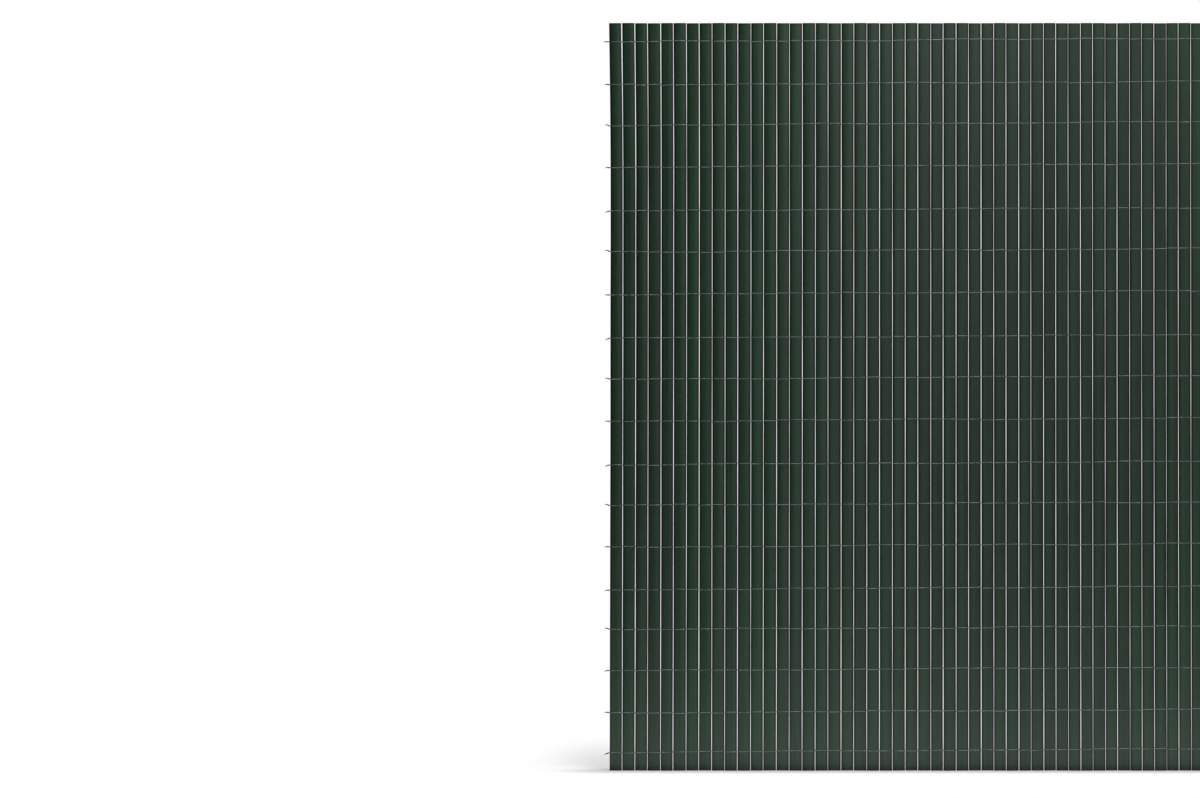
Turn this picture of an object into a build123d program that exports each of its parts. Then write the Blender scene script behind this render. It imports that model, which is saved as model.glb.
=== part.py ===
from build123d import *
from math import cos, pi, sin, sqrt
import os

# Roll-up screening mat: upright hollow plastic strips stand side by side, and rows of thread hold
# them. In each row one thread lies in front of the strips and one behind, and past the outermost
# strips the two join and end in a short cut tail.
# Millimetres. X runs along the mat, -Y is its front, Z is up, and the origin is at the middle of
# the lower edge.

# Mat
MAT_HEIGHT = 900.0
STRIP_COUNT = 49

# Strip section: two crowned faces of even wall that run into round edges of a thicker one
STRIP_WIDTH = 14.7
EDGE_RADIUS = 1.4
CROWN = 0.6
FACE_WALL = 0.4
EDGE_WALL = 0.9

# Differences between the strips' widths, as shares of the width: a slow sway along the mat, with the
# strips that it takes and the one at its widest, and how much one strip differs from the next
WIDTH_SWAY = 0.025
STRIPS_IN_SWAY = 56
WIDEST_STRIP = 14
WIDTH_UNEVENNESS = 0.025
WIDTH_BEAT = 2.7

# Gaps between the strips: the mean, and as shares of it how much looser the left end is bound
# than the middle, and how much one gap differs from the next
GAP = 0.43
GAP_DRIFT = 0.15
GAP_UNEVENNESS = 0.25
GAP_BEAT = 2.3

# Turn of the strips in their binding, in degrees: a slow sway along the mat, with its length and
# the place where it faces most to the right, and a turn of each strip's own
SWAY_TURN = 4.0
SWAY_LENGTH = 620.0
SWAY_CREST = 40.0
OWN_TURN = 1.5
OWN_TURN_BEAT = 4.1

# Binding rows: their spacing, how far they drift off it in one slow wave from the top row down,
# how many rows that wave takes, how far every third row sits off it, and how far a row climbs
# from the left end of the mat to the right
ROW_SPACING = 50.0
ROW_DRIFT = 4.0
ROWS_IN_DRIFT = 24
ROW_UNEVENNESS = 1.1
ROWS_IN_BEAT = 3
ROW_RISE = 4.6

# Thread, its distance from what it binds, and the cut tail past the last strip
THREAD = 0.7
THREAD_CLEARANCE = 0.15
TAIL = 6.0

STEP_FOLDER = "parts"


def strip_width(index):
    """Width of a strip, the strips being counted from the left end."""
    sway = WIDTH_SWAY * cos(2 * pi * (index - WIDEST_STRIP) / STRIPS_IN_SWAY)
    return STRIP_WIDTH * (1 + sway + WIDTH_UNEVENNESS * sin(WIDTH_BEAT * index))


def gap_after(index):
    """Gap between a strip and the next one."""
    along = index / (STRIP_COUNT - 2)
    drift = GAP_DRIFT * (1 - 2 * along)
    return GAP * (1 + drift + GAP_UNEVENNESS * sin(GAP_BEAT * index))


def left_edges():
    """Left edges of the strips along the mat from its left end, and then the mat's length."""
    edges = [0]
    for index in range(STRIP_COUNT - 1):
        edges.append(edges[-1] + strip_width(index) + gap_after(index))
    return edges + [edges[-1] + strip_width(STRIP_COUNT - 1)]


def strip_turn(index, centre):
    """Turn of a strip about its own upright axis, positive where its front faces to the right."""
    sway = SWAY_TURN * cos(2 * pi * (centre - SWAY_CREST) / SWAY_LENGTH)
    return sway + OWN_TURN * sin(OWN_TURN_BEAT * index)


def strip_outline(width):
    """Flat oval: two shallow arcs between the centres of the edges, grown by the edge radius."""
    half_span = width / 2 - EDGE_RADIUS
    left, right = (-half_span, 0), (half_span, 0)
    core = ThreePointArc(left, (0, CROWN), right) + ThreePointArc(right, (0, -CROWN), left)
    return offset(make_face(core), EDGE_RADIUS, kind=Kind.ARC)


def hollow_outline(width):
    """Space inside the strip: one wall away from the faces, and flat at its two ends."""
    end = width / 2 - EDGE_WALL
    corner = sqrt((EDGE_RADIUS - FACE_WALL) ** 2 - (EDGE_RADIUS - EDGE_WALL) ** 2)
    crest = CROWN + EDGE_RADIUS - FACE_WALL
    front = ThreePointArc((-end, -corner), (0, -crest), (end, -corner))
    back = ThreePointArc((end, corner), (0, crest), (-end, corner))
    ends = Line((end, -corner), (end, corner)) + Line((-end, corner), (-end, -corner))
    return make_face(front + back + ends)


def make_strip(width):
    """One extruded strip, open at its two sawn ends, standing on the origin."""
    return extrude(strip_outline(width) - hollow_outline(width), MAT_HEIGHT)


def make_binding_row(mat_length, strip_reach):
    """Both threads of one row, level and centred on the origin, with their tails."""
    bound_space = Rectangle(mat_length + 2 * THREAD_CLEARANCE, 2 * (strip_reach + THREAD_CLEARANCE))
    loop = offset(bound_space, THREAD, kind=Kind.INTERSECTION)
    tails = Rectangle(mat_length + 2 * (THREAD_CLEARANCE + THREAD + TAIL), THREAD)
    return extrude(loop + tails - bound_space, THREAD / 2, both=True)


def row_heights():
    """Heights of the binding rows at the middle of the mat, from the lowest up."""
    count = int(MAT_HEIGHT // ROW_SPACING)
    lowest = (MAT_HEIGHT - (count - 1) * ROW_SPACING) / 2
    heights = []
    for row in range(count):
        drift = ROW_DRIFT * cos(2 * pi * (count - 1 - row) / ROWS_IN_DRIFT)
        beat = ROW_UNEVENNESS * cos(2 * pi * (row - 1) / ROWS_IN_BEAT)
        heights.append(lowest + row * ROW_SPACING + drift - beat)
    return heights


*edges, mat_length = left_edges()
nodes = {}
for index, edge in enumerate(edges):
    width = strip_width(index)
    centre = edge + width / 2 - mat_length / 2
    turn = Rot(0, 0, strip_turn(index, centre))
    nodes[f"strip_{index + 1:02d}"] = Pos(centre, 0, 0) * turn * make_strip(width)
strip_reach = max(strip.bounding_box().max.Y for strip in nodes.values())

climb = Vector(mat_length, 0, ROW_RISE).get_angle(Vector(1, 0, 0))
binding_row = Rot(0, -climb, 0) * make_binding_row(mat_length, strip_reach)
nodes["binding_cords"] = Compound([Pos(0, 0, height) * binding_row for height in row_heights()])

os.makedirs(STEP_FOLDER, exist_ok=True)
for name, solid in nodes.items():
    export_step(solid, f"{STEP_FOLDER}/{name}.step")
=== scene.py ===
from math import asin, atan2, cos, exp, pi, radians, sin

import bpy
import numpy as np
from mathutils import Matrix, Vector


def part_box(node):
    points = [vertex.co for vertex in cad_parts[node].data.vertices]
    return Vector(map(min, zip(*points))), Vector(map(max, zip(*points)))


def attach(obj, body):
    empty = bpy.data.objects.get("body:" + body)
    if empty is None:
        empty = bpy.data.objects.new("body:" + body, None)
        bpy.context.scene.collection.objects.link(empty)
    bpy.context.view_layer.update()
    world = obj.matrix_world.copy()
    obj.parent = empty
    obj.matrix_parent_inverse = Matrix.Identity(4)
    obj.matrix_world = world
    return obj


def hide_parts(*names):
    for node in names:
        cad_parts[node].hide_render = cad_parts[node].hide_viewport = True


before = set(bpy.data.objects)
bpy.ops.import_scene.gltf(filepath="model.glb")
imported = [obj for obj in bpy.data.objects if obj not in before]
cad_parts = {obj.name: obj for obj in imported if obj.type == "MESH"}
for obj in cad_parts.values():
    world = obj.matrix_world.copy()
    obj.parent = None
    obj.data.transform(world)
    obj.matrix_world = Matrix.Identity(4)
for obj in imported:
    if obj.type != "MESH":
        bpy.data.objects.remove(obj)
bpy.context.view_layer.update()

# Roll-up screening mat: extruded plastic strips side by side, twined together by rows of two threads.
# Metres. X runs along the mat, -Y is its front, Z is up.

MM = 0.001
WHITE = (1, 1, 1, 1)

# Reading the solids: how near to a plane a point counts as on it, the digits to which points on one level
# agree, and the least distance between two binding rows
NEAR = 1.0 * MM
LEVEL_DIGITS = 5
ROWS_APART = 10 * MM

# Strip section, with the broken edge and the line of painted shade at its sawn ends, the steps that its
# crowned faces, its round edges and its length are made in, and the angle from which an edge shows sharp
EDGE_RADIUS = 1.4 * MM
CROWN = 0.6 * MM
FACE_WALL = 0.4 * MM
EDGE_WALL = 0.9 * MM
SAWN_EDGE = 0.12 * MM
END_SHADE_LINE = 2.5 * MM
CROWN_STEPS = 12
EDGE_STEPS = 12
LENGTH_STEPS = 24
SHARP_ANGLE = radians(40)

# How the strips give between the rows: the mat fans out towards its foot and the loose left end leans
# out at the top, both along curves of the powers given, and each strip has a small wave, a bulge, a
# twist and a cut of its own
FOOT_SPREAD = 1.3 * MM
FOOT_SPREAD_POWER = 2
HEAD_LEAN = 1.9 * MM
HEAD_LEAN_HEIGHT = 190 * MM
HEAD_LEAN_STRIPS = 4
HEAD_LEAN_POWER = 1.5
WAVE = 0.08 * MM
WAVE_LENGTHS = (310 * MM, 190 * MM)
BULGE = 0.15 * MM
TWIST = radians(0.7)
TWIST_LENGTH = 520 * MM
CUT_UNEVENNESS = 0.35 * MM

# How far those differences move on from one strip to the next, in radians, and the multiples of it that
# keep them from moving together
STRIP_BEAT = 2.4
WAVE_BEAT = 1.7
BULGE_BEAT = 2.9
TWIST_BEAT = 1.3
FOOT_CUT_BEAT = 3.1
TOP_CUT_BEAT = 1.9
TONE_BEAT = 5.3

# Binding threads: their section, the steps over a strip's face and round its edge, how a row wavers
# along the mat and slips from strip to strip, and the length and lift of the plies
THREAD_RADIUS = 0.35 * MM
THREAD_TIP = 0.4 * THREAD_RADIUS
THREAD_SIDES = 8
RUN_STEPS = 4
TURN_STEPS = 4
ROW_WAVER = 0.7 * MM
ROW_WAVER_LENGTHS = (410 * MM, 170 * MM)
ROW_WAVER_BEATS = (1.7, 2.9)
STRIP_SLIP = 0.45 * MM
PLY_LENGTH = 2.2 * MM
PLY_LIFT = 1.05 * THREAD_RADIUS

# Cut tails: where the threads leave the last strip, the length of the longer and the shorter thread,
# their radius and their distance from the tail's middle, how far each tail rises, in degrees, from the
# top row down, and how its threads twist about each other: shares of the length, with the share of that
# distance to the front and upwards there
TAIL_LEAVE = radians(50)
TAIL_LENGTHS = (6.4 * MM, 5.0 * MM)
TAIL_RADIUS = 0.45 * MM
TAIL_TWIST = 0.4 * MM
TAIL_SLOPES = (0, 0, 18, 0, -16, 15, 0, -20, 14, 0, -16, 16, 0, -8, 17, -5, 0, -21)
TAIL_KNOTS = ((0.2, 1, 0), (0.45, 0, 1), (0.7, -1, 0), (0.85, -0.6, -0.6), (1, 0, -1))
TAIL_STEPS = 4

# Strip finish: greens of the faces and the darker green of painted shade on the edges and sawn ends,
# where that painted shade starts and is full as shares of half a strip, how closely the marks of the die,
# the cloudy tone and the grain lie, per metre, what each gives to the tone and the roughness, and the
# depth of the bump
DEEP_GREEN = (0.0042, 0.0195, 0.008, 1)
LIGHT_GREEN = (0.0148, 0.0615, 0.026, 1)
EDGE_SHADE_GREEN = (0.0015, 0.004, 0.002, 1)
EDGE_SHADE_SHARE = (0.62, 0.8)
DIE_LINES = (1800, 1800, 5)
DIE_BANDS = (230, 230, 3)
CLOUD_SCALE = 22.0
GRAIN_SCALE = 2600.0
NOISE_CONTRAST = 1.8
STRIP_TONE = 0.25
LINE_TONE = 0.1
BAND_TONE = 0.55
CLOUD_TONE = 0.1
PVC_ROUGHNESS = 0.33
LINE_ROUGHNESS = 0.08
CLOUD_ROUGHNESS = 0.06
GRAIN_HEIGHT = 0.5
PVC_BUMP = 0.12
PVC_BUMP_DEPTH = 0.1 * MM

# Thread finish: its plies, its greens and the darker grey of painted shade on its tails, with the length
# over which it starts, how closely the fibres and the worn places lie, per metre, what each gives to the
# tone, with painted shade in the grooves between the plies, and the gloss and bump
PLIES = 2
THREAD_DARK = (0.07, 0.09, 0.075, 1)
THREAD_LIGHT = (0.4, 0.48, 0.42, 1)
TAIL_SHADE_GREY = (0.05, 0.047, 0.043, 1)
TAIL_FADE = 1.0 * MM
FIBRE_SCALE = 3500.0
THREAD_WEAR = (120, 120, 40)
RIDGE_SHADE = 0.15
FIBRE_TONE = 0.2
WORN_TONE = 0.9
LEAST_TONE = 0.06
THREAD_ROUGHNESS = 0.6
THREAD_GLOSS = 0.3
THREAD_BUMP = 0.5
THREAD_BUMP_DEPTH = 0.08 * MM

# Camera: the frame's width at the mat, its middle there, the distance, and the sensor in millimetres
FRAME_WIDTH = 1.4445
FRAME_MIDDLE = (-0.3838, 0.4474)
CAMERA_DISTANCE = 8.0
SENSOR = 36.0

# Soft boxes, each with its place, target, size and power: a large one to the right in front of the mat,
# one high in front, a slim upright one before its middle, a small one by its upper edge, and two that
# lie just above the floor before it and throw light up as the white floor does
SOFT_BOXES = {
    "key": ((1.85, -3.5, 1.6), (0.0, 0, 0.45), (2.4, 1.0), 18),
    "pool": ((0.04, -1.0, 1.9), (-0.05, 0, 0.45), (0.7, 0.7), 11),
    "sheen": ((0.03, -1.5, 0.5), (0.0, 0, 0.5), (0.3, 1.4), 1.45),
    "crest": ((0.12, -0.45, 1.15), (0.12, 0, 0.8), (0.3, 0.3), 0.4),
    "foot": ((-0.03, -0.38, 0.004), (-0.03, -0.38, 1), (1.0, 0.6), 0.78),
    "sole": ((-0.03, -0.06, 0.004), (-0.03, -0.06, 1), (1.0, 0.1), 0.17),
}

# The weak light from all round: before the mat, behind it and in its gloss, and the slope of a direction
# at which behind starts and is full
ROOM_FRONT = 0.02
ROOM_BEHIND = 0.45
ROOM_GLOSS = 0.03
BEHIND_SLOPES = (0.0, 0.5)

# Floor: its half side, its tone for light that falls on it, its tone and lift to the eye, how far the
# shadow shows beside, behind and before the mat, the share of painted contact shadow in the dark line
# under it, and the distances at which its white starts to leave the gloss and is gone
FLOOR_SIZE = 30.0
FLOOR_TONE = 0.45
FLOOR_SHOWN = 0.95
FLOOR_LIFT = 0.53
SHADOW_BESIDE = 0.12
SHADOW_BEHIND = 0.9
SHADOW_BEFORE = 0.08
CONTACT_SHADOW = 0.4
GLOSS_REACH = (0.3, 1.1)

mat_low, mat_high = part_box("strip_01")[0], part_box("strip_49")[1]
MAT_HEIGHT = mat_high.z - mat_low.z
HALF_LENGTH = (mat_high.x - mat_low.x) / 2


def node_points(name):
    """Corners of a solid's mesh, one row each."""
    return np.array([corner.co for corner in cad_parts[name].data.vertices])


class Strip:
    """One strip: its number from the left, and its middle, turn and section as the solid has them."""

    def __init__(self, index, name):
        points = node_points(name)
        foot = points[points[:, 2] < NEAR][:, :2]
        self.name = name
        self.index = index
        self.middle = (foot.min(axis=0) + foot.max(axis=0)) / 2
        long_axis = np.linalg.eigh(np.cov((foot - self.middle).T))[1][:, 1]
        self.turn = np.arctan(long_axis[1] / long_axis[0])
        self.half_width = np.ptp(foot @ long_axis) / 2
        self.half_span = self.half_width - EDGE_RADIUS
        self.crown_radius = (self.half_span**2 + CROWN**2) / (2 * CROWN)
        self.crown_angle = asin(self.half_span / self.crown_radius)
        self.beat = STRIP_BEAT * index

    def place(self, height):
        """Middle and turn of the section at a height, or at an array of heights."""
        from_top = 1 - height / MAT_HEIGHT
        spread = FOOT_SPREAD * self.middle[0] / HALF_LENGTH * from_top**FOOT_SPREAD_POWER
        first, second = (2 * pi * height / length for length in WAVE_LENGTHS)
        wave = WAVE * (np.sin(first + self.beat) + np.sin(second + WAVE_BEAT * self.beat)) / 2
        bulge = BULGE * np.sin(first + BULGE_BEAT * self.beat)
        twist = TWIST * np.sin(2 * pi * height / TWIST_LENGTH + TWIST_BEAT * self.beat)
        in_head = np.clip(1 - (MAT_HEIGHT - height) / HEAD_LEAN_HEIGHT, 0, 1)
        lean = HEAD_LEAN * exp(-self.index / HEAD_LEAN_STRIPS) * in_head**HEAD_LEAN_POWER
        return self.middle[0] + spread + wave - lean, self.middle[1] + bulge, self.turn + twist


def arc(centre, radius, start, end, steps):
    """Points of an arc, its angles counted from the front (-Y) towards +X; the last one is left out."""
    angles = np.linspace(start, end, steps, endpoint=False)
    return np.column_stack((centre[0] + radius * np.sin(angles), centre[1] - radius * np.cos(angles)))


def outer_outline(strip, inset):
    """The strip's flat oval, from the left end of its front face round by the right."""
    edge, face = EDGE_RADIUS - inset, strip.crown_radius + EDGE_RADIUS - inset
    rise = strip.crown_radius - CROWN
    turn = strip.crown_angle
    return np.concatenate((
        arc((0, rise), face, -turn, turn, CROWN_STEPS),
        arc((strip.half_span, 0), edge, turn, pi - turn, EDGE_STEPS),
        arc((0, -rise), face, pi - turn, pi + turn, CROWN_STEPS),
        arc((-strip.half_span, 0), edge, pi + turn, 2 * pi - turn, EDGE_STEPS),
    ))


def inner_outline(strip):
    """The hollow, flat at its two ends, with as many points as the oval round it."""
    end = strip.half_width - EDGE_WALL
    corner = ((EDGE_RADIUS - FACE_WALL) ** 2 - (EDGE_RADIUS - EDGE_WALL) ** 2) ** 0.5
    rise = CROWN + EDGE_RADIUS - FACE_WALL - corner
    radius = (end**2 + rise**2) / (2 * rise)
    turn = asin(end / radius)
    middle = radius - rise - corner
    along = np.linspace(-corner, corner, EDGE_STEPS, endpoint=False)
    side = np.column_stack((np.full(EDGE_STEPS, end), along))
    return np.concatenate((
        arc((0, middle), radius, -turn, turn, CROWN_STEPS),
        side,
        arc((0, -middle), radius, pi - turn, pi + turn, CROWN_STEPS),
        -side,
    ))


def rings(strip, outlines, heights):
    """The outlines set at their heights, each turned and moved as the strip stands there."""
    points = []
    for outline, height in zip(outlines, heights):
        x, y, turn = strip.place(height)
        spin = np.array(((cos(turn), sin(turn)), (-sin(turn), cos(turn))))
        flat = outline @ spin + (x, y)
        points.append(np.column_stack((flat, np.full(len(flat), height))))
    return np.concatenate(points)


def skin(ring_count, size, first):
    """Faces between rings of points that follow each other, looking outwards."""
    faces = []
    for ring in range(ring_count - 1):
        low, high = first + ring * size, first + (ring + 1) * size
        for corner in range(size):
            after = (corner + 1) % size
            faces.append((low + corner, low + after, high + after, high + corner))
    return faces


def strip_mesh(strip):
    """A hollow strip with a slightly broken edge round its two sawn ends: its points, its faces, and how
    far each point lies from the middle of a face towards the strip's edges and ends, 0 to 1, which sets
    the painted shade there."""
    foot = CUT_UNEVENNESS / 2 * (1 + sin(FOOT_CUT_BEAT * strip.beat))
    top = MAT_HEIGHT - CUT_UNEVENNESS / 2 * (1 + sin(TOP_CUT_BEAT * strip.beat))
    end = np.array((0, SAWN_EDGE, END_SHADE_LINE))
    between = np.linspace(foot, top, LENGTH_STEPS + 1)[1:-1]
    heights = np.concatenate((foot + end, between, top - end[::-1]))
    full, broken = outer_outline(strip, 0), outer_outline(strip, SAWN_EDGE)
    hollow = inner_outline(strip)
    outlines = [broken] + [full] * (len(heights) - 2) + [broken]
    outside = rings(strip, outlines, heights)
    inside = rings(strip, [hollow] * len(heights), heights)
    size, count = len(full), len(heights)
    inner_first = len(outside)
    faces = skin(count, size, 0)
    faces += [face[::-1] for face in skin(count, size, inner_first)]
    outer_top, inner_top = inner_first - size, 2 * inner_first - size
    for corner in range(size):
        after = (corner + 1) % size
        faces.append((outer_top + corner, outer_top + after, inner_top + after, inner_top + corner))
        faces.append((corner, inner_first + corner, inner_first + after, after))
    # Painted shade: points on the round edges and on the two rings at each sawn end get the darker edge
    # green
    outward = [np.abs(outline[:, 0]) / strip.half_width for outline in outlines]
    outward[:2] = outward[-2:] = [np.ones(size)] * 2
    outward = np.concatenate(outward + [np.zeros(len(inside))])
    return np.concatenate((outside, inside)), faces, outward


class Row:
    """One binding row: its height along the mat, and how each strip's section lies there."""

    def __init__(self, number, left_height, right_height, strips):
        slips = np.random.default_rng(number).uniform(-STRIP_SLIP, STRIP_SLIP, len(strips))
        self.number = number
        self.strips = strips
        self.middles, self.turns, self.heights = [], [], []
        for strip, slip in zip(strips, slips):
            along = (strip.middle[0] + HALF_LENGTH) / (2 * HALF_LENGTH)
            height = left_height + along * (right_height - left_height) + slip
            for length, beat in zip(ROW_WAVER_LENGTHS, ROW_WAVER_BEATS):
                height += ROW_WAVER / 2 * sin(2 * pi * strip.middle[0] / length + beat * number)
            x, y, turn = strip.place(height)
            self.middles.append(np.array((x, y)))
            self.turns.append(turn)
            self.heights.append(height)

    def axes(self, index):
        """The strip's directions there, to its right and to its front."""
        turn = self.turns[index]
        return np.array((cos(turn), sin(turn))), np.array((sin(turn), -cos(turn)))

    def edge(self, index, hand):
        """Centre of the strip's round edge on its right (hand 1) or its left (hand -1)."""
        return self.middles[index] + hand * self.strips[index].half_span * self.axes(index)[0]

    def crossing(self, index, hand, side):
        """At an edge: the angle at which a thread on that side leaves it, its reach from the edge's
        centre there, and the height at which the two threads cross."""
        neighbour = index + hand
        if not 0 <= neighbour < len(self.middles):
            return hand * TAIL_LEAVE, EDGE_RADIUS + THREAD_RADIUS, self.heights[index]
        across = (self.edge(neighbour, -hand) - self.edge(index, hand)) / 2
        right, front = self.axes(index)
        angle = atan2(across @ right, side * (across @ front))
        height = (self.heights[index] + self.heights[neighbour]) / 2
        return angle, np.hypot(*across), height

    def run(self, index, side):
        """A thread's way round one strip, in front (side 1) or behind (side -1), from left to right:
        its points, each with half the thread's width, for the strips pinch it between them."""
        right, front = self.axes(index)
        face_end = self.strips[index].crown_angle
        points = []
        for hand in (-1, 1):
            leave, reach, crossing_height = self.crossing(index, hand, side)
            centre = self.edge(index, hand)
            for share in np.linspace(0, 1, TURN_STEPS + 1)[::hand]:
                angle = hand * face_end + share * (leave - hand * face_end)
                radius = EDGE_RADIUS + THREAD_RADIUS + share * (reach - EDGE_RADIUS - THREAD_RADIUS)
                flat = centre + radius * (sin(angle) * right + side * cos(angle) * front)
                height = self.heights[index] + share * (crossing_height - self.heights[index])
                height += side * PLY_LIFT * sin(angle)
                points.append((*flat, height, min(radius - EDGE_RADIUS, THREAD_RADIUS)))
            if hand < 0:
                points += self.face_run(index, side)
        return points

    def face_run(self, index, side):
        """The stretch of a thread over a strip's face, without its two ends."""
        right, front = self.axes(index)
        crown, face_end = self.strips[index].crown_radius, self.strips[index].crown_angle
        radius = crown + EDGE_RADIUS + THREAD_RADIUS
        points = []
        for angle in np.linspace(-face_end, face_end, RUN_STEPS + 1)[1:-1]:
            out = radius * cos(angle) - crown + CROWN
            flat = self.middles[index] + radius * sin(angle) * right + side * out * front
            height = self.heights[index] + side * PLY_LIFT * sin(angle)
            points.append((*flat, height, THREAD_RADIUS))
        return points

    def tail(self, last_points, index, hand, side):
        """A thread's cut tail, twisted once about the other one, outwards from its last points."""
        slope = radians(TAIL_SLOPES[self.number] if hand < 0 else TAIL_SLOPES[-1 - self.number])
        outward = np.array((hand * cos(slope), 0, sin(slope)))
        front, up = np.array((0, -1, 0)), np.array((0, 0, 1))
        root = np.array((*(self.edge(index, hand) + (hand * EDGE_RADIUS, 0)), self.heights[index]))
        length = TAIL_LENGTHS[0] if side > 0 else TAIL_LENGTHS[1]
        knots = list(last_points)
        for share, lean, lift in TAIL_KNOTS:
            offset = side * TAIL_TWIST * (lean * front + lift * up)
            knots.append((*(root + share * length * outward + offset), TAIL_RADIUS))
        return smooth_line(np.array(knots), TAIL_STEPS)[1:]

    def thread(self, first_side):
        """The whole way of one of the two threads, tail to tail."""
        last = len(self.middles) - 1
        points = []
        for index in range(last + 1):
            side = first_side if index % 2 == 0 else -first_side
            run = self.run(index, side)
            if index == 0:
                points += list(self.tail(np.array(run[1::-1]), 0, -1, side)[::-1])
            points += run if index == 0 else run[1:]
            if index == last:
                points += list(self.tail(np.array(run[-2:]), last, 1, side))
        return np.array(points)


def smooth_line(knots, steps):
    """A smooth line through the knots from the second one on, with that many steps to a knot."""
    ahead = np.vstack((knots[1:], 2 * knots[-1] - knots[-2]))
    behind = np.vstack((knots[0], knots[:-1]))
    slopes = (ahead - behind) / 2
    points = [knots[1]]
    for index in range(1, len(knots) - 1):
        for t in np.linspace(0, 1, steps + 1)[1:]:
            start, end = knots[index], knots[index + 1]
            blend = 3 * t**2 - 2 * t**3
            pull = slopes[index] * (t - 2 * t**2 + t**3) + slopes[index + 1] * (t**3 - t**2)
            points.append(start + blend * (end - start) + pull)
    return np.array(points)


def thread_tube(way, first):
    """A thread along its way: its points, its faces, and along and around for each face corner."""
    path, half_width = way[:, :3], way[:, 3]
    ahead = np.gradient(path, axis=0)
    ahead /= np.linalg.norm(ahead, axis=1)[:, None]
    side = np.cross(ahead, (0, 0, 1))
    side /= np.linalg.norm(side, axis=1)[:, None]
    up = np.cross(side, ahead)
    around = np.linspace(0, 2 * pi, THREAD_SIDES, endpoint=False)[None, :, None]
    wide = half_width[:, None, None] * np.cos(around) * side[:, None]
    half_height = np.maximum(half_width, THREAD_RADIUS)[:, None, None]
    ring = wide + half_height * np.sin(around) * up[:, None]
    points = (path[:, None] + ring).reshape(-1, 3)
    tips = path[[0, -1]] + THREAD_TIP * ahead[[0, -1]] * np.array(((-1,), (1,)))
    along = np.concatenate(((0,), np.cumsum(np.linalg.norm(np.diff(path, axis=0), axis=1))))
    faces, unwrapped = [], []
    for step in range(len(path) - 1):
        low, high = first + step * THREAD_SIDES, first + (step + 1) * THREAD_SIDES
        for corner in range(THREAD_SIDES):
            after = (corner + 1) % THREAD_SIDES
            faces.append((low + corner, high + corner, high + after, low + after))
            u0, u1 = along[step] / PLY_LENGTH, along[step + 1] / PLY_LENGTH
            v0, v1 = corner / THREAD_SIDES, (corner + 1) / THREAD_SIDES
            unwrapped += [(u0, v0), (u1, v0), (u1, v1), (u0, v1)]
    last_ring, tip = first + len(points) - THREAD_SIDES, first + len(points)
    for corner in range(THREAD_SIDES):
        after = (corner + 1) % THREAD_SIDES
        faces.append((first + corner, first + after, tip))
        faces.append((last_ring + after, last_ring + corner, tip + 1))
        unwrapped += [(0, 0)] * 6
    return np.concatenate((points, tips)), faces, unwrapped


class Value:
    """A socket of a shader node. Sums on it add Math nodes beside it."""

    def __init__(self, shading, socket):
        self.shading = shading
        self.socket = socket

    def maths(self, operation, *others):
        """Adds a Math node on this value and any others."""
        sockets = dict(enumerate((self, *others)))
        return self.shading.node("Math", {"operation": operation}, sockets)

    def __add__(self, other):
        return self.maths("ADD", other)

    def __sub__(self, other):
        return self.maths("SUBTRACT", other)

    def __rsub__(self, other):
        return self * -1 + other

    def __mul__(self, other):
        return self.maths("MULTIPLY", other)

    __radd__ = __add__
    __rmul__ = __mul__


class Shading:
    """The nodes of one material or of the world."""

    def __init__(self, owner):
        owner.use_nodes = True
        self.tree = owner.node_tree
        self.tree.nodes.clear()

    def node(self, kind, settings, sockets, output=0):
        """Adds a node, makes its settings, then fills its sockets with numbers or links."""
        made = self.tree.nodes.new("ShaderNode" + kind)
        for name, setting in settings.items():
            setattr(made, name, setting)
        for name, value in sockets.items():
            if isinstance(value, Value):
                self.tree.links.new(value.socket, made.inputs[name])
            else:
                made.inputs[name].default_value = value
        return Value(self, made.outputs[output]) if made.outputs else made

    def mix(self, factor, first, second):
        """A colour between two."""
        return self.node("MixRGB", {}, {"Fac": factor, "Color1": first, "Color2": second})

    def stretch(self, vector, scales):
        """A vector with each of its parts scaled."""
        return self.node("VectorMath", {"operation": "MULTIPLY"}, {0: vector, 1: scales})

    def noise(self, vector, detail, scale=1.0):
        """Soft noise, mostly between 0 and 1."""
        plain = self.node("TexNoise", {}, {"Vector": vector, "Scale": scale, "Detail": detail})
        return (plain - 0.5) * NOISE_CONTRAST + 0.5

    def ease(self, value, start, end):
        """0 up to a start, 1 from an end on, and a soft step between them."""
        return self.node("MapRange", {"interpolation_type": "SMOOTHSTEP"}, {
            "Value": value, "From Min": start, "From Max": end})


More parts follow.
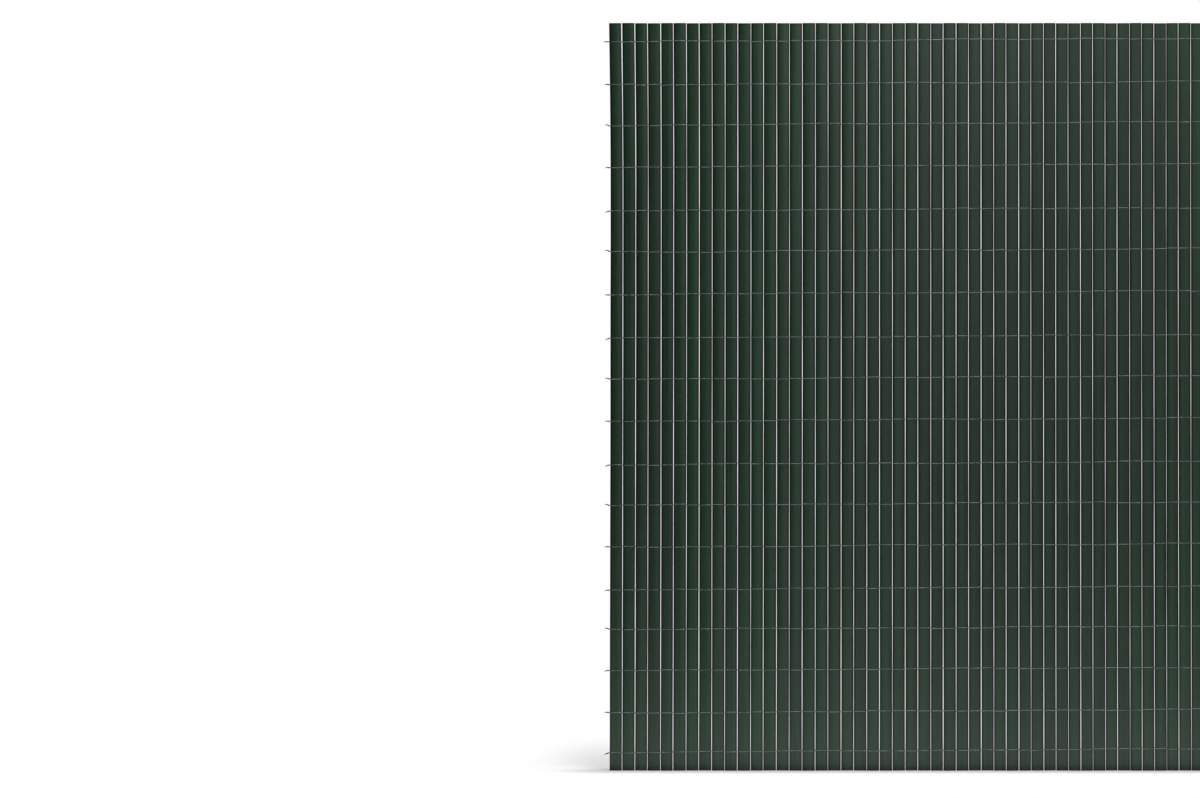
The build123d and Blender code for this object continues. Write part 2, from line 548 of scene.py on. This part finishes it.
def strip_finish():
    """Dark green PVC, drawn lengthwise through a die: streaks along it, a satin sheen, a tone to each
    strip, and painted shade that darkens the round edges and the sawn ends."""
    material = bpy.data.materials.new("drawn_green_pvc")
    shade = Shading(material)
    place = shade.node("TexCoord", {}, {}, "Object")
    lines = shade.noise(shade.stretch(place, DIE_LINES), detail=3)
    bands = shade.noise(shade.stretch(place, DIE_BANDS), detail=1)
    cloud = shade.noise(place, detail=2, scale=CLOUD_SCALE)
    grain = shade.noise(place, detail=2, scale=GRAIN_SCALE)
    tone = shade.node("Attribute", {"attribute_name": "strip_tone"}, {}, "Fac")
    outward = shade.node("Attribute", {"attribute_name": "strip_edge_shade"}, {}, "Fac")
    depth = STRIP_TONE * tone + LINE_TONE * lines + BAND_TONE * bands + CLOUD_TONE * cloud
    face = shade.mix(depth, DEEP_GREEN, LIGHT_GREEN)
    # Painted shade: the face green turns darker towards the round edges and at the sawn ends
    colour = shade.mix(shade.ease(outward, *EDGE_SHADE_SHARE), face, EDGE_SHADE_GREEN)
    rough = PVC_ROUGHNESS + LINE_ROUGHNESS * lines + CLOUD_ROUGHNESS * cloud
    bump = shade.node("Bump", {}, {
        "Height": lines + GRAIN_HEIGHT * grain, "Strength": PVC_BUMP, "Distance": PVC_BUMP_DEPTH})
    surface = shade.node("BsdfPrincipled", {}, {"Base Color": colour, "Roughness": rough, "Normal": bump})
    shade.node("OutputMaterial", {}, {"Surface": surface})
    return material


def thread_finish():
    """Two-ply grey-green thread: the plies show as slanting ridges, with painted shade in the grooves
    between them, and the cut tails get a dark grey of painted shade.
    """
    material = bpy.data.materials.new("twined_thread")
    shade = Shading(material)
    unwrapped = shade.node("UVMap", {"uv_map": "thread_length"}, {})
    along = shade.node("SeparateXYZ", {}, {"Vector": unwrapped}, "X")
    around = shade.node("SeparateXYZ", {}, {"Vector": unwrapped}, "Y")
    ridge = (PLIES * 2 * pi * (along + around)).maths("SINE")
    place = shade.node("TexCoord", {}, {}, "Object")
    fibre = shade.noise(place, detail=2, scale=FIBRE_SCALE)
    worn = shade.noise(shade.stretch(place, THREAD_WEAR), detail=1)
    # Painted shade: the grooves between the plies are darker and their crests lighter; fibres and worn
    # places are the thread's own tone
    tone_and_groove_shade = RIDGE_SHADE * ridge + FIBRE_TONE * fibre + WORN_TONE * worn + LEAST_TONE
    from_middle = shade.node("SeparateXYZ", {}, {"Vector": place}, "X").maths("ABSOLUTE")
    tail = shade.ease(from_middle, HALF_LENGTH - TAIL_FADE, HALF_LENGTH + TAIL_FADE)
    # Painted shade: the cut tails turn a dark grey
    colour = shade.mix(tail, shade.mix(tone_and_groove_shade, THREAD_DARK, THREAD_LIGHT), TAIL_SHADE_GREY)
    bump = shade.node("Bump", {}, {
        "Height": ridge + fibre, "Strength": THREAD_BUMP, "Distance": THREAD_BUMP_DEPTH})
    surface = shade.node("BsdfPrincipled", {}, {
        "Base Color": colour, "Roughness": THREAD_ROUGHNESS, "Normal": bump,
        "Specular IOR Level": THREAD_GLOSS})
    shade.node("OutputMaterial", {}, {"Surface": surface})
    return material


def seen_white(shade, gloss_share):
    """1 for rays from the camera, a share for those off gloss or through glass, and 0 for the light
    that falls on things."""
    names = ("Is Camera Ray", "Is Glossy Ray", "Is Transmission Ray")
    camera, glossy, through = (shade.node("LightPath", {}, {}, name) for name in names)
    seen = camera + (glossy + through) * gloss_share
    return seen.maths("MINIMUM", 1.0)


def add_piece(name, points, faces, finish):
    """A smooth mesh with its finish, riding on the mat."""
    mesh = bpy.data.meshes.new(name)
    mesh.from_pydata(points, [], faces)
    mesh.materials.append(finish)
    mesh.shade_smooth()
    mesh.set_sharp_from_angle(angle=SHARP_ANGLE)
    piece = bpy.data.objects.new(name, mesh)
    bpy.context.scene.collection.objects.link(piece)
    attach(piece, "root")
    return piece


def add_strips(strips):
    """The strips in place of their solids, each with its tone and its share of painted edge shade from
    face to edge.
    """
    finish = strip_finish()
    for strip in strips:
        points, faces, outward = strip_mesh(strip)
        piece = add_piece(f"pvc_{strip.name}", points, faces, finish)
        tone = np.full(len(points), 0.5 + 0.5 * sin(TONE_BEAT * strip.beat))
        for name, values in (("strip_tone", tone), ("strip_edge_shade", outward)):
            attribute = piece.data.attributes.new(name, "FLOAT", "POINT")
            attribute.data.foreach_set("value", values)
        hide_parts(strip.name)


def read_rows(strips):
    """The binding rows from the top down, from the heights of their solids' two ends."""
    points = node_points("binding_cords")
    ends = []
    for end in (points[:, 0].min(), points[:, 0].max()):
        tips = points[np.abs(points[:, 0] - end) < NEAR]
        heights = np.unique(np.round(tips[:, 2], LEVEL_DIGITS))
        breaks = np.flatnonzero(np.diff(heights) > ROWS_APART) + 1
        ends.append([part.mean() for part in np.split(heights, breaks)][::-1])
    return [Row(number, *heights, strips) for number, heights in enumerate(zip(*ends))]


def add_rows(rows):
    """The twined threads of each row, as one piece, in place of the solids' plain loops."""
    finish = thread_finish()
    for row in rows:
        points, faces, unwrapped = thread_tube(row.thread(1), 0)
        more, more_faces, more_unwrapped = thread_tube(row.thread(-1), len(points))
        points = np.concatenate((points, more))
        piece = add_piece(f"binding_row_{row.number + 1:02d}", points, faces + more_faces, finish)
        layer = piece.data.uv_layers.new(name="thread_length")
        layer.data.foreach_set("uv", np.array(unwrapped + more_unwrapped).ravel())
        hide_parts("binding_cords")


def add_floor():
    """Pale floor that is white to the eye, and takes the mat's shadow close to it, with a painted contact
    shadow along its foot.
    """
    size = FLOOR_SIZE
    corners = [(-size, -size, 0), (size, -size, 0), (size, size, 0), (-size, size, 0)]
    mesh = bpy.data.meshes.new("floor")
    mesh.from_pydata(corners, [], [(0, 1, 2, 3)])
    floor = bpy.data.objects.new("floor", mesh)
    bpy.context.scene.collection.objects.link(floor)
    material = bpy.data.materials.new("pale_floor")
    shade = Shading(material)
    place = shade.node("TexCoord", {}, {}, "Object")
    along, depth = (shade.node("SeparateXYZ", {}, {"Vector": place}, axis) for axis in "XY")
    past_end = (along.maths("ABSOLUTE") - HALF_LENGTH).maths("MAXIMUM", 0.0)
    beside = past_end * (1 / SHADOW_BESIDE)
    behind = (depth * (1 / SHADOW_BEHIND)).maths("MAXIMUM", depth * (-1 / SHADOW_BEFORE))
    shadowed = 1 - shade.ease((beside * beside + behind * behind).maths("SQRT"), 0.0, 1.0)
    away = (past_end * past_end + depth * depth).maths("SQRT")
    glossed = 1 - shade.ease(away, *GLOSS_REACH)
    # Painted shadow, partly real: close to the mat the floor drops towards its plain lit tone by distance
    # alone, a dark line along the foot
    painted_contact_shadow = CONTACT_SHADOW * (1 - shade.ease(away, 0.0, SHADOW_BEFORE))
    plain = shade.node("BsdfDiffuse", {}, {"Color": (FLOOR_TONE, FLOOR_TONE, FLOOR_TONE, 1)})
    shown = shade.node("BsdfDiffuse", {}, {"Color": (FLOOR_SHOWN, FLOOR_SHOWN, FLOOR_SHOWN, 1)})
    lift = shade.node("Emission", {}, {"Color": WHITE, "Strength": FLOOR_LIFT})
    lifted = shade.node("AddShader", {}, {0: shown, 1: lift})
    white = shade.node("Emission", {}, {"Color": WHITE, "Strength": 1.0})
    eye = shade.node("MixShader", {}, {"Fac": shadowed, 1: white, 2: lifted})
    eye = shade.node("MixShader", {}, {"Fac": painted_contact_shadow, 1: eye, 2: plain})
    surface = shade.node("MixShader", {}, {"Fac": seen_white(shade, glossed), 1: plain, 2: eye})
    shade.node("OutputMaterial", {}, {"Surface": surface})
    mesh.materials.append(material)


def add_world():
    """White all round to the camera and behind the mat in its gloss; a weaker light from everywhere."""
    world = bpy.data.worlds.new("studio")
    bpy.context.scene.world = world
    shade = Shading(world)
    direction = shade.node("TexCoord", {}, {}, "Generated")
    depth = shade.node("SeparateXYZ", {}, {"Vector": direction}, "Y")
    behind = shade.ease(depth, *BEHIND_SLOPES)
    gloss = shade.node("LightPath", {}, {}, "Is Glossy Ray")
    light = ROOM_FRONT + (ROOM_BEHIND - ROOM_FRONT) * behind
    room = light + (ROOM_GLOSS - light) * gloss
    seen = seen_white(shade, behind)
    strength = room + (1 - room) * seen
    sky = shade.node("Background", {}, {"Color": WHITE, "Strength": strength})
    shade.node("OutputWorld", {}, {"Surface": sky})


def add_light(name, place, target, size, power):
    """A soft box at a place, facing a target."""
    light = bpy.data.lights.new(name, "AREA")
    light.shape = "RECTANGLE"
    light.size, light.size_y = size
    light.energy = power
    lamp = bpy.data.objects.new(name, light)
    lamp.location = place
    lamp.rotation_euler = (Vector(target) - Vector(place)).to_track_quat("-Z", "Y").to_euler()
    lamp.visible_camera = False
    bpy.context.scene.collection.objects.link(lamp)


def add_camera():
    """A level camera straight in front, far off, with the mat in the right half of its frame."""
    camera = bpy.data.cameras.new("camera")
    camera.sensor_width = SENSOR
    camera.lens = SENSOR * CAMERA_DISTANCE / FRAME_WIDTH
    eye = bpy.data.objects.new("camera", camera)
    eye.location = (FRAME_MIDDLE[0], -CAMERA_DISTANCE, FRAME_MIDDLE[1])
    eye.rotation_euler = (radians(90), 0, 0)
    bpy.context.scene.collection.objects.link(eye)
    bpy.context.scene.camera = eye


strips = [Strip(index, name) for index, name in enumerate(sorted(
    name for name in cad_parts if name.startswith("strip_")))]
add_camera()
add_rows(read_rows(strips))
add_strips(strips)
add_floor()
add_world()
for name, values in SOFT_BOXES.items():
    add_light(name, *values)
bpy.context.scene.view_settings.view_transform = "Standard"
